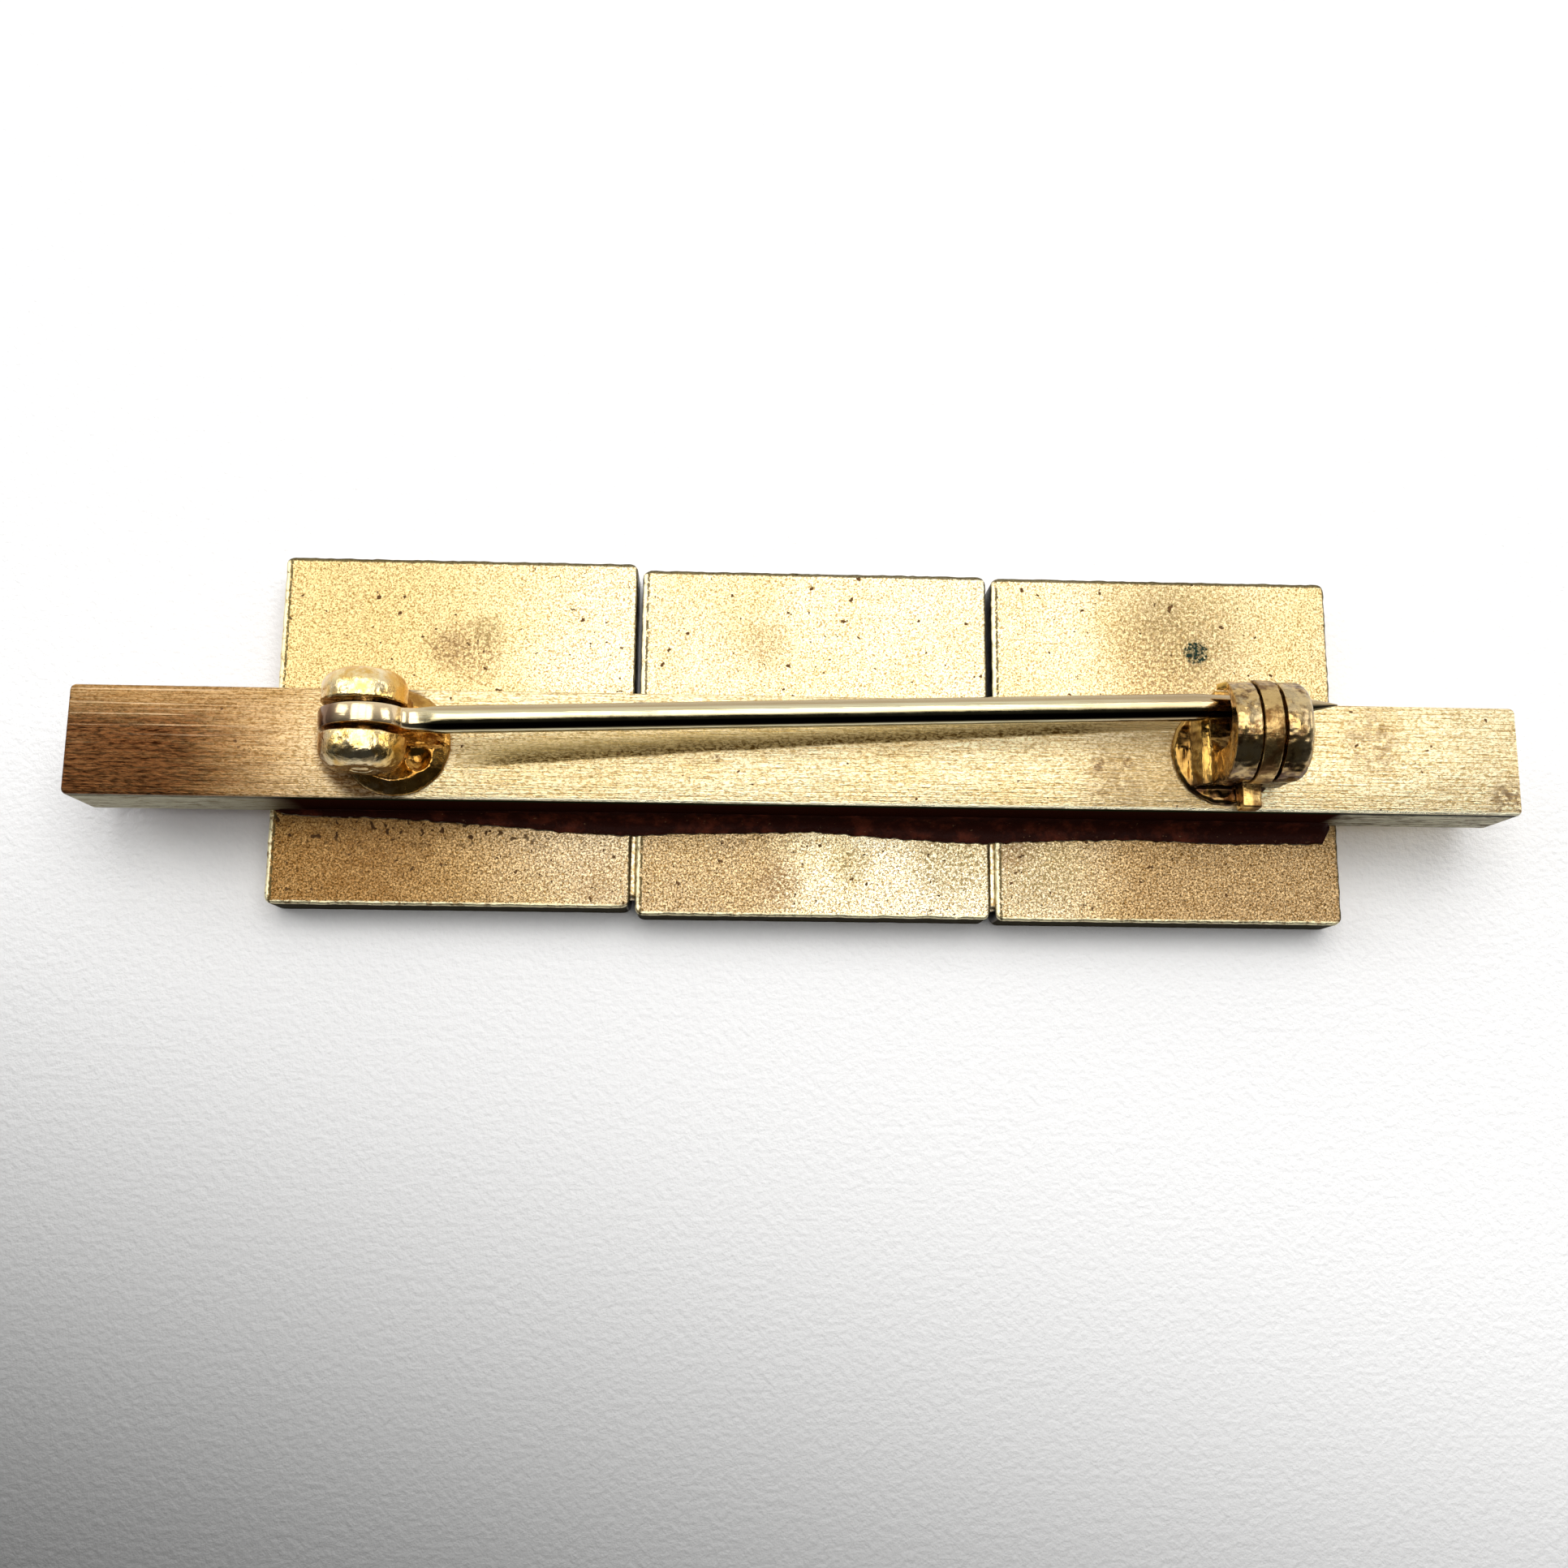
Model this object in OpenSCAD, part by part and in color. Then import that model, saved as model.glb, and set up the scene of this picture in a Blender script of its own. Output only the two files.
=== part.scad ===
/* [Front plates] */
// Width of a plate along the bar
plate_w = 15.14; // [12:0.02:18]
// Height of a plate across the bar
plate_h = 15.24; // [12:0.02:18]
// Thickness of a plate
plate_t = 2; // [1:0.1:3]
// Gap between neighbouring plates
plate_gap = 0.22; // [0.1:0.02:0.4]
// Corner radius of a plate
plate_corner = 0.35; // [0.1:0.05:1]
// How much wider the left plate and narrower the right plate was filed
plate_trim = 0.2; // [0:0.05:0.4]
// How far the left plate was soldered above its neighbours
plate_step = 0.28; // [0:0.02:0.6]

/* [Bar] */
// Length of the bar
bar_l = 60; // [54:0.5:70]
// Width of the bar
bar_w = 4.6; // [3.8:0.1:6]
// Thickness of the bar
bar_t = 3.25; // [2:0.05:4]
// Corner radius at the ends of the bar
bar_corner = 0.25; // [0.05:0.05:0.6]
// How far the middle line of the bar lies below the middle of the plates
bar_drop = 1.07; // [0:0.01:3]
// How far the row of plates lies to the right of the middle of the bar
row_shift = 0.44; // [-1:0.02:1]
// Widest reach of the solder seam over the plates
seam_w = 1; // [0.4:0.05:1.6]
// Height of the solder seam up the side of the bar
seam_h = 0.9; // [0.3:0.05:1.8]

/* [Hinge] */
// Distance of the hinge pad from the middle of the bar
hinge_x = 16.6; // [12:0.1:22]
// Diameter of the solder pads under the hinge and the catch
pad_d = 4.45; // [4:0.05:5]
// Thickness of the pad's rim
pad_rim = 0.3; // [0.2:0.05:0.4]
// Diameter of the rounded ears
ear_d = 3.4; // [3.2:0.05:3.8]
// Length of both ears together along the rivet
ear_l = 3.98; // [3.6:0.02:4.4]
// Rounding of the outer edges of the ears
ear_round = 0.8; // [0.4:0.05:0.95]
// How far the ears overhang the pad's middle to the left
ear_offset = 0.9; // [0.5:0.05:1.1]
// How far the ears lie to the side of the middle of the bar
ear_side = 0.42; // [0:0.02:0.6]
// Height of the rivet and of the pin stem above the bar
rivet_z = 2.2; // [2:0.05:2.3]
// Diameter of the rivet
rivet_d = 0.76; // [0.6:0.02:0.9]
// Radial clearance of the rivet in the ears
rivet_fit = 0.04; // [0.02:0.01:0.08]
// Width of the slot between the ears
slot_w = 1.28; // [1.24:0.02:1.4]

/* [Pin stem] */
// Diameter of the pin stem
stem_d = 1.12; // [0.9:0.02:1.16]
// Distance from the rivet to the point of the stem
stem_l = 39.1; // [37:0.1:42]
// Angle of the stem to the bar, seen from the back
stem_yaw = 1.95; // [1.8:0.05:2]
// Thickness of the flattened eye
eye_t = 0.9; // [0.8:0.02:0.94]
// Clearance under the eye
eye_gap = 0.05; // [0.03:0.01:0.1]
// Radial clearance of the eye round the rivet, which lets the stem sway
eye_fit = 0.09; // [0.08:0.01:0.1]
// Length of the long taper before the point
taper_l = 4.5; // [3.6:0.1:6]
// Length of the point
point_l = 1.4; // [1:0.1:2]
// Diameter where the long taper meets the point
point_d = 0.58; // [0.5:0.02:0.64]
// Diameter of the blunted tip
tip_d = 0.08; // [0.04:0.02:0.12]

/* [Catch] */
// Distance of the catch pad from the middle of the bar
catch_x = 17.55; // [16:0.05:19]
// How far the catch pad lies to the side of the middle of the bar
catch_side = 0.15; // [0:0.05:0.3]
// Distance of the hooks' near face to the left of the catch pad's middle
hook_start = 0.8; // [0.65:0.05:0.95]
// Length of the catch along the stem
catch_l = 3.14; // [3:0.02:3.4]
// Thickness of the left-hand hook
hook_t = 1.02; // [0.9:0.02:1.08]
// Thickness of the right-hand hook
end_hook_t = 1.14; // [1:0.02:1.2]
// Outer diameter of the hooks
hook_d = 4; // [3.9:0.02:4.04]
// Height of the hooks' middle above the bar
hook_z = 2.5; // [2.45:0.05:2.55]
// How far the hooks' middle lies to the side of the middle of the bar
hook_side = 0.5; // [0.45:0.01:0.55]
// Width of the space inside the hooks
space_w = 2.3; // [2.2:0.02:2.4]
// How far that space lies from the hooks' middle towards the mouth
space_side = 0.5; // [0.47:0.01:0.52]
// Height of that space above the bar at its lowest point
space_low = 0.55; // [0.45:0.05:0.7]
// Clearance above and below the stem in the mouth
mouth_fit = 0.08; // [0.05:0.01:0.12]
// Rounding of the right-hand hook's outer edge
hook_round = 0.4; // [0.2:0.05:0.5]
// Length of the ledge in front of the left-hand hook
ledge_l = 0.75; // [0.5:0.05:0.9]
// Length by which the lip flares out to lead the point in
flare_l = 0.3; // [0.1:0.05:0.4]

/* [Catch roller] */
// Outer diameter of the roller
roller_d = 4.16; // [4.1:0.02:4.2]
// Wall of the roller
roller_wall = 0.35; // [0.3:0.01:0.38]
// Width of the roller along the stem
roller_w = 0.76; // [0.7:0.02:0.8]
// Side clearance between the roller and the left-hand hook
roller_side_fit = 0.05; // [0.03:0.01:0.06]
// Radial clearance of the roller round its collars and above the foot
roller_fit = 0.04; // [0.02:0.01:0.05]
// Length of each collar that carries the roller
collar_l = 0.25; // [0.15:0.05:0.3]
// Length by which the lever stands out beyond the roller
lever_l = 0.8; // [0.6:0.05:0.9]
// Thickness of the lever
lever_t = 0.95; // [0.7:0.05:1]

/* [Hidden] */
$fn = 64;
gold = "#c8a258";
pale_gold = "#d9bf86";
bright_gold = "#dba63c";
steel = "#cfc9a8";
worn_gold = "#a98d57";

// Overlap of bodies that are fused, and overrun of cuts
eps = 0.01;
over = 0.5;

// Plates: one row per plate with its trim in width and its step upwards, as shares
PLATE_TRIM = 0;
PLATE_STEP = 1;
plates = [[1, 1], [0, 0], [-1, -0.2]];
row_w = 3 * plate_w + 2 * plate_gap;
function plate_width(i) = plate_w + plates[i][PLATE_TRIM] * plate_trim;
function plate_x(i) = row_shift - row_w / 2 + plate_width(i) / 2
    + (i > 0 ? plate_width(0) + plate_gap : 0) + (i > 1 ? plate_width(1) + plate_gap : 0);
function plate_y(i) = bar_drop + plates[i][PLATE_STEP] * plate_step;

// The origin lies in the middle of the plates' outline, on their front faces
top_y = max([for (i = [0:2]) plate_y(i)]) + plate_h / 2;
low_y = min([for (i = [0:2]) plate_y(i)]) - plate_h / 2;
bar_y = -(top_y + low_y) / 2;
back_z = plate_t + bar_t;

// Solder seam: place along the row of plates and reach, as shares
SEAM_AT = 0;
SEAM_REACH = 1;
seam = [[0.00, 0.16], [0.06, 0.22], [0.12, 0.30], [0.18, 0.50], [0.24, 0.55], [0.30, 0.76],
        [0.34, 0.86], [0.38, 0.70], [0.43, 0.72], [0.50, 0.56], [0.56, 0.78], [0.60, 0.90],
        [0.66, 1.00], [0.72, 0.82], [0.80, 0.72], [0.86, 0.88], [0.92, 0.74], [1.00, 0.84]];
seam_root = 0.3;

// Hinge
ear_x = -hinge_x - ear_offset;
eye_r = rivet_z - pad_rim - 0.1 - eye_gap;
slot_floor = pad_rim + 0.1;
dome_h = 0.62;
neck_w = ear_d - 0.2;

// Catch, with the roller's axis as its own origin
hook_x = catch_x - hook_start;
mouth_low = rivet_z - stem_d / 2 - mouth_fit - hook_z;
mouth_high = rivet_z + stem_d / 2 + mouth_fit - hook_z;
space_top = 1.25;
space_r = space_w / 2;
foot_top = hook_z - roller_d / 2 - roller_fit;
collar_d = roller_d - 2 * roller_wall - 2 * roller_fit;
roller_x = hook_t + roller_side_fit;
gap_right = catch_l - hook_t - end_hook_t - roller_w - roller_side_fit;
lever_low = -(hook_z - foot_top) + 0.08;
base_side = hook_d / 2 - 0.14;

// Rectangle with rounded corners, its middle at the origin
module rounded_rect(w, h, r) {
    square([w - 2 * r, h], center = true);
    square([w, h - 2 * r], center = true);
    for (x = [-1, 1], y = [-1, 1])
        translate([x * (w / 2 - r), y * (h / 2 - r)])
            circle(r = r);
}

// Square front plate
module plate(i) {
    color(pale_gold)
        translate([plate_x(i), bar_y + plate_y(i), 0])
            linear_extrude(plate_t)
                rounded_rect(plate_width(i), plate_h, plate_corner);
}

// Solder drawn along the foot of the bar: a hollow fillet swept through the stations
module solder_seam() {
    side = bar_y - bar_w / 2;
    left = row_shift - row_w / 2 + plate_corner;
    length = row_w - 2 * plate_corner;
    // Five corners of the fillet at station s, from the bar's inside round to the top
    function section(s) = [
        [side + seam_root, plate_t],
        [side - seam_w * seam[s][SEAM_REACH], plate_t],
        [side - 0.35 * seam_w * seam[s][SEAM_REACH], plate_t + 0.25 * seam_h],
        [side, plate_t + seam_h * (0.4 + 0.6 * seam[s][SEAM_REACH])],
        [side + seam_root, plate_t + seam_h * (0.4 + 0.6 * seam[s][SEAM_REACH])]];
    last = len(seam) - 1;
    points = [for (s = [0:last]) for (p = section(s))
        [left + length * seam[s][SEAM_AT], p[0], p[1]]];
    faces = concat(
        [for (k = [1:3]) [k + 1, k, 0]],
        [for (k = [1:3]) [last * 5, last * 5 + k, last * 5 + k + 1]],
        [for (s = [0:last - 1]) for (k = [0:4])
            [(s + 1) * 5 + k, s * 5 + k, s * 5 + (k + 1) % 5]],
        [for (s = [0:last - 1]) for (k = [0:4])
            [(s + 1) * 5 + (k + 1) % 5, (s + 1) * 5 + k, s * 5 + (k + 1) % 5]]);
    polyhedron(points, faces, convexity = 4);
}

// Bar that carries the plates and the pin, with the seam that holds the plates
module back_bar() {
    color(gold)
        union() {
            translate([0, bar_y, plate_t])
                linear_extrude(bar_t)
                    rounded_rect(bar_l, bar_w, bar_corner);
            solder_seam();
        }
}

// Round solder pad that domes up to height h at its middle
module pad(h) {
    r = pad_d / 2;
    rotate_extrude()
        union() {
            square([r, pad_rim - 0.12]);
            polygon([[0, 0], [r, pad_rim - 0.12], [r - 0.12, pad_rim], [r - 0.55, h], [0, h]]);
        }
}

// Barrel with rounded ends along Y
module barrel(d, l, r) {
    rotate([90, 0, 0])
        rotate_extrude()
            union() {
                translate([0, -l / 2])
                    square([d / 2 - r, l]);
                translate([0, -l / 2 + r])
                    square([d / 2, l - 2 * r]);
                for (y = [-1, 1])
                    intersection() {
                        translate([d / 2 - r, y * (l / 2 - r)])
                            circle(r = r);
                        translate([0, -l])
                            square([d, 2 * l]);
                    }
            }
}

// Round-eared hinge: pad, neck and two ears, slotted and drilled
module hinge() {
    color(bright_gold)
        translate([0, bar_y, back_z])
            difference() {
                union() {
                    translate([-hinge_x, 0, 0])
                        pad(dome_h);
                    translate([ear_x, ear_side, rivet_z])
                        barrel(ear_d, ear_l, ear_round);
                    translate([ear_x - neck_w / 2, ear_side - ear_l / 2 + ear_round, pad_rim - eps])
                        cube([neck_w, ear_l - 2 * ear_round, rivet_z - pad_rim]);
                }
                translate([ear_x - ear_d, ear_side - slot_w / 2, slot_floor])
                    cube([2 * ear_d, slot_w, rivet_z + ear_d]);
                translate([ear_x, ear_side, rivet_z])
                    rotate([90, 0, 0])
                        cylinder(d = rivet_d + 2 * rivet_fit, h = ear_l + 2 * over, center = true);
                translate([-hinge_x + 1.05, -0.75, dome_h + 0.35])
                    sphere(r = 0.62);
            }
}

// Rivet across the ears
module hinge_rivet() {
    color(bright_gold)
        translate([ear_x, bar_y + ear_side, back_z + rivet_z])
            rotate([90, 0, 0])
                cylinder(d = rivet_d, h = ear_l + 0.06, center = true);
}

// Pin stem: flattened eye, straight wire, long taper and point
module pin_stem() {
    flat_end = ear_d / 2 + 0.25;
    shank = stem_l - taper_l - point_l;
    color(steel)
        translate([ear_x, bar_y + ear_side, back_z + rivet_z])
            rotate([0, 0, stem_yaw])
                difference() {
                    union() {
                        rotate([90, 0, 0])
                            cylinder(r = eye_r, h = eye_t, center = true);
                        rotate([90, 0, 0])
                            linear_extrude(eye_t, center = true)
                                polygon([[0.6 * eye_r, -0.6 * eye_r], [flat_end, -0.45 * stem_d],
                                         [flat_end, 0.45 * stem_d], [0.6 * eye_r, 0.6 * eye_r]]);
                        translate([flat_end - 0.7, 0, 0])
                            intersection() {
                                rotate([0, 90, 0])
                                    cylinder(d = stem_d, h = shank - flat_end + 0.7);
                                union() {
                                    translate([0, -eye_t / 2, -stem_d])
                                        cube([0.7, eye_t, 2 * stem_d]);
                                    translate([0.7, -stem_d, -stem_d])
                                        cube([shank, 2 * stem_d, 2 * stem_d]);
                                }
                            }
                        translate([shank, 0, 0])
                            rotate([0, 90, 0])
                                cylinder(d1 = stem_d, d2 = point_d, h = taper_l);
                        translate([shank + taper_l, 0, 0])
                            rotate([0, 90, 0])
                                cylinder(d1 = point_d, d2 = tip_d, h = point_l);
                    }
                    rotate([90, 0, 0])
                        cylinder(d = rivet_d + 2 * eye_fit, h = 2 * eye_t, center = true);
                }
}

// Space inside the hooks, with the mouth towards the side where the stem goes in
module hook_space() {
    low = space_low + space_r - hook_z;
    high = space_top - space_r;
    for (z = [low, high])
        translate([space_side, z])
            circle(r = space_r);
    translate([space_side - space_r, low])
        square([space_w, high - low]);
    translate([space_side, mouth_low])
        square([hook_d, mouth_high - mouth_low]);
}

// Outline of a hook: round head on a straight base
module hook_outline() {
    difference() {
        union() {
            circle(d = hook_d);
            translate([-base_side, pad_rim - hook_z])
                square([base_side + hook_d / 2 - 0.1, hook_z - pad_rim]);
        }
        hook_space();
    }
}

// Extrudes an outline drawn in Y and Z along X
module along_x(length) {
    rotate([90, 0, 90])
        linear_extrude(length)
            children();
}

// Catch: pad, foot, two hooks and the collars that carry the roller
module catch_housing() {
    color(worn_gold)
        translate([0, bar_y, back_z])
            union() {
                translate([catch_x, catch_side, 0])
                    pad(pad_rim);
                translate([hook_x, hook_side, hook_z]) {
                    along_x(hook_t)
                        hook_outline();
                    translate([catch_l - end_hook_t, 0, 0])
                        round_hook();
                    collars();
                    translate([-ledge_l, -base_side, pad_rim - hook_z])
                        ledge();
                    translate([hook_t - eps, -base_side, pad_rim - hook_z - eps])
                        cube([catch_l - hook_t - end_hook_t + 2 * eps, 2 * base_side - 0.5, foot_top - pad_rim + eps]);
                    flare();
                }
            }
}

// Collars on the inner faces of the hooks
module collars() {
    for (x = [hook_t - eps, catch_l - end_hook_t - collar_l - gap_right + eps])
        translate([x, 0, 0])
            along_x(x < catch_l / 2 ? collar_l : collar_l + gap_right)
                difference() {
                    circle(d = collar_d);
                    hook_space();
                }
}

// Sloped ledge in front of the left-hand hook
module ledge() {
    length = 2 * base_side - 0.5;
    translate([0, length, 0])
        rotate([90, 0, 0])
            linear_extrude(length)
                polygon([[0, -0.05], [0.06, 0], [0.4, 0.5], [ledge_l + eps, 0.62], [ledge_l + eps, -0.05]]);
}

// Right-hand hook, rounded on its outer edge
module round_hook() {
    difference() {
        union() {
            rotate([0, 90, 0])
                rotate_extrude()
                    union() {
                        square([hook_d / 2 - hook_round, end_hook_t]);
                        square([hook_d / 2, end_hook_t - hook_round]);
                        translate([hook_d / 2 - hook_round, end_hook_t - hook_round])
                            circle(r = hook_round);
                    }
            translate([0, -base_side, pad_rim - hook_z])
                cube([end_hook_t - 0.5 * hook_round, base_side + hook_d / 2 - 0.1, hook_z - pad_rim]);
        }
        translate([-over, 0, 0])
            along_x(end_hook_t + 2 * over)
                hook_space();
    }
}

// Lip drawn out towards the hinge above the mouth, to lead the point in
module flare() {
    reach = sqrt(hook_d * hook_d / 4 - mouth_high * mouth_high);
    inner = space_side + space_r - 0.04;
    translate([0, reach - 0.1, 0])
        rotate([90, 0, 0])
            linear_extrude(reach - 0.1 - inner)
                polygon([[eps, mouth_high], [-flare_l, mouth_high], [-flare_l, mouth_high + 0.1],
                         [eps, mouth_high + 0.5]]);
}

// Roller with its lever, open towards the mouth
module catch_roller() {
    color(worn_gold)
        translate([hook_x + roller_x, bar_y + hook_side, back_z + hook_z])
            along_x(roller_w)
                difference() {
                    union() {
                        circle(d = roller_d);
                        translate([-roller_d / 2 - lever_l + 0.12, lever_low])
                            square([roller_d / 2 + lever_l - 0.6, lever_t]);
                        translate([-roller_d / 2 - lever_l, lever_low + 0.12])
                            square([roller_d / 2 + lever_l - 0.6, lever_t - 0.24]);
                        for (z = [0.12, lever_t - 0.12])
                            translate([-roller_d / 2 - lever_l + 0.12, lever_low + z])
                                circle(r = 0.12);
                    }
                    circle(d = roller_d - 2 * roller_wall);
                    translate([0, mouth_low])
                        square([roller_d, mouth_high - mouth_low]);
                }
}

plate(0);  // plate_left
plate(1);  // plate_middle
plate(2);  // plate_right
back_bar();
hinge();
hinge_rivet();
pin_stem();
catch_housing();
catch_roller();
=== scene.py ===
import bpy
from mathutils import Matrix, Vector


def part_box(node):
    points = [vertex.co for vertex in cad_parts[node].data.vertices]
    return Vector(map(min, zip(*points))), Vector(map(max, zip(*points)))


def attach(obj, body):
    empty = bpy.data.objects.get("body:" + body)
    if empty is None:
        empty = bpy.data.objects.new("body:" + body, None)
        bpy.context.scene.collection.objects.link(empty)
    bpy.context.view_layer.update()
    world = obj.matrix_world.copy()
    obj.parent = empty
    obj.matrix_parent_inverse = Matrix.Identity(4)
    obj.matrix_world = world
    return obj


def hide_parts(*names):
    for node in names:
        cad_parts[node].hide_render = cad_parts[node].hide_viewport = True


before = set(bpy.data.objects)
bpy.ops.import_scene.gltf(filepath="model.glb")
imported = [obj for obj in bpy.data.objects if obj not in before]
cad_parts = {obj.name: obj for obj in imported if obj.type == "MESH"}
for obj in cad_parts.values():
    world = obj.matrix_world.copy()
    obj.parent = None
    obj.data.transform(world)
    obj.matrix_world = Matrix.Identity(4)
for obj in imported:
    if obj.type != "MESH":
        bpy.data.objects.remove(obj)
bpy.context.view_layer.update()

import math

import bmesh
import bpy
from mathutils import Matrix, Vector, noise


# Table, light and camera
# A pale matt table with a fine grain; painted shade darkens it towards the viewer. A wide light of three
# panels hangs a little beyond the brooch, smaller ones stand at both sides, and the room behind the
# viewer is dark.
MM = 0.001  # sizes are in millimetres; Blender works in metres


class Finish:
    """One surface finish: a Principled shader and the nodes that colour and roughen it."""

    def __init__(self, name, metallic, roughness, colour):
        self.material = bpy.data.materials.new(name)
        self.material.use_nodes = True
        self.tree = self.material.node_tree
        self.shader = self.tree.nodes["Principled BSDF"]
        self.shader.inputs["Metallic"].default_value = metallic
        self.shader.inputs["Roughness"].default_value = roughness
        self.shader.inputs["Base Color"].default_value = (*colour, 1)
        self.place = self.add("ShaderNodeTexCoord").outputs["Object"]

    def add(self, kind, **settings):
        node = self.tree.nodes.new(kind)
        for name, value in settings.items():
            setattr(node, name, value)
        return node

    def feed(self, socket, value):
        """Links a socket to another, or sets it to a number or a colour."""
        if isinstance(value, bpy.types.NodeSocket):
            self.tree.links.new(value, socket)
        elif isinstance(value, tuple):
            socket.default_value = (*value, 1)
        else:
            socket.default_value = value

    def math(self, operation, a, b=0.0):
        node = self.add("ShaderNodeMath", operation=operation)
        self.feed(node.inputs[0], a)
        self.feed(node.inputs[1], b)
        return node.outputs[0]

    def times(self, *factors):
        product = factors[0]
        for factor in factors[1:]:
            product = self.math("MULTIPLY", product, factor)
        return product

    def plus(self, a, b):
        return self.math("ADD", a, b)

    def minus(self, a, b):
        return self.math("SUBTRACT", a, b)

    def larger(self, a, b):
        return self.math("MAXIMUM", a, b)

    def moved(self, scale, shift):
        """The place on the object, scaled for each millimetre and then shifted."""
        node = self.add("ShaderNodeMapping")
        node.inputs["Scale"].default_value = [n / MM for n in scale]
        node.inputs["Location"].default_value = shift
        self.feed(node.inputs["Vector"], self.place)
        return node.outputs[0]

    def noise(self, per_mm, detail=2.0, rough=0.5, warp=0.0, shift=(0, 0, 0)):
        """Noise with so many lumps a millimetre, the same all ways or along X, Y and Z."""
        if not isinstance(per_mm, tuple):
            per_mm = (per_mm,) * 3
        node = self.add("ShaderNodeTexNoise")
        node.inputs["Scale"].default_value = 1
        node.inputs["Detail"].default_value = detail
        node.inputs["Roughness"].default_value = rough
        node.inputs["Distortion"].default_value = warp
        self.feed(node.inputs["Vector"], self.moved(per_mm, shift))
        return node.outputs["Fac"]

    def between(self, value, low, high, out_low=0.0, out_high=1.0):
        """Smooth step of a value from low to high, turned into out_low to out_high."""
        node = self.add("ShaderNodeMapRange", interpolation_type="SMOOTHSTEP")
        self.feed(node.inputs["Value"], value)
        for name, number in (("From Min", low), ("From Max", high),
                             ("To Min", out_low), ("To Max", out_high)):
            node.inputs[name].default_value = number
        return node.outputs["Result"]

    def fade(self, value, low, high):
        """1 below low, easing to 0 above high."""
        return self.between(value, low, high, 1, 0)

    def band(self, value, rise, fall):
        """Rises from 0 to 1 over one pair of limits and falls back to 0 over the other."""
        return self.times(self.between(value, *rise), self.fade(value, *fall))

    def along(self, axis):
        """The place along X, Y or Z, in millimetres."""
        node = self.add("ShaderNodeSeparateXYZ")
        self.feed(node.inputs[0], self.place)
        return self.times(node.outputs[axis], 1 / MM)

    def spot(self, centre, radius, soft=0.5, stretch=(1, 1, 1)):
        """1 inside a round patch about a centre in millimetres, fading out over its edge."""
        length = self.add("ShaderNodeVectorMath", operation="LENGTH")
        self.feed(length.inputs[0], self.moved(stretch, [-c * n for c, n in zip(centre, stretch)]))
        return self.fade(length.outputs["Value"], radius * (1 - soft), radius * (1 + soft))

    def mix(self, kind, share, first, second):
        node = self.add("ShaderNodeMix", data_type="RGBA", blend_type=kind)
        self.feed(node.inputs["Factor"], share)
        for socket, value in zip([s for s in node.inputs if s.type == "RGBA"], (first, second)):
            self.feed(socket, value)
        return [s for s in node.outputs if s.type == "RGBA"][0]

    def blend(self, share, first, second):
        """Colour between two, by a share from 0 to 1."""
        return self.mix("MIX", share, first, second)

    def shade(self, colour, factor):
        """A colour made darker or lighter by a factor."""
        return self.mix("MULTIPLY", 1, colour, factor)

    def colour(self, value):
        self.feed(self.shader.inputs["Base Color"], value)

    def roughness(self, value):
        self.feed(self.shader.inputs["Roughness"], value)

    def metallic(self, value):
        self.feed(self.shader.inputs["Metallic"], value)

    def gloss(self, value):
        self.feed(self.shader.inputs["Specular IOR Level"], value)

    def relief(self, *layers):
        """Bump from pairs of a height from 0 to 1 and its depth in millimetres."""
        normal = None
        for height, depth in layers:
            node = self.add("ShaderNodeBump")
            node.inputs["Strength"].default_value = 1
            node.inputs["Distance"].default_value = depth * MM
            self.feed(node.inputs["Height"], height)
            if normal:
                self.feed(node.inputs["Normal"], normal)
            normal = node.outputs["Normal"]
        self.feed(self.shader.inputs["Normal"], normal)


TABLE_HALF = 300
TABLE_LIT, TABLE_PAINTED_SHADE = (0.93, 0.93, 0.93), (0.15, 0.15, 0.148)
table_mesh = bpy.data.meshes.new("table")
table_corners = [Vector((x, y, 0)) * TABLE_HALF * MM for x, y in ((-1, -1), (1, -1), (1, 1), (-1, 1))]
table_mesh.from_pydata(table_corners, [], [(0, 1, 2, 3)])
table = bpy.data.objects.new("table", table_mesh)
bpy.context.collection.objects.link(table)
table_white = Finish("table_white", 0, 0.45, (0.86, 0.87, 0.87))
# Painted shade: the table's colour fades from pale to dark towards the viewer and to the left.
toward_viewer = table_white.plus(table_white.times(table_white.along(1), -1),
                                 table_white.times(table_white.along(0), -0.32))
table_white.colour(table_white.blend(table_white.between(toward_viewer, 9, 49), TABLE_LIT, TABLE_PAINTED_SHADE))
table_white.relief((table_white.noise(3.2, 3, 0.6), 0.07))
table_mesh.materials.append(table_white.material)


def window(name, place, aim, width, height, watts, colour):
    """An area light in millimetres that faces a point."""
    light = bpy.data.lights.new(name, "AREA")
    light.shape = "RECTANGLE"
    light.size, light.size_y = width * MM, height * MM
    light.energy = watts
    light.color = colour
    lamp = bpy.data.objects.new(name, light)
    bpy.context.collection.objects.link(lamp)
    lamp.location = Vector(place) * MM
    lamp.rotation_euler = (Vector(aim) - Vector(place)).to_track_quat("-Z", "Y").to_euler()
    return lamp


WARM_WHITE = (1, 0.985, 0.96)
for pane in (-1, 0, 1):
    pane_x = 20 + 86 * pane
    window("overhead_panel", (pane_x, 52, 262), (pane_x, 52, 0), 78, 222, 0.137, WARM_WHITE)
window("left_panel", (-230, 90, 210), (-17, 0, 7), 110, 150, 0.12, WARM_WHITE)
window("right_panel", (300, 70, 130), (0, 0, 7), 130, 120, 0.12, WARM_WHITE)
soft_light = window("table_fill", (40, 170, 280), (0, 10, 0), 260, 260, 0.24, (1, 1, 1))
soft_light.visible_glossy = False

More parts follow.
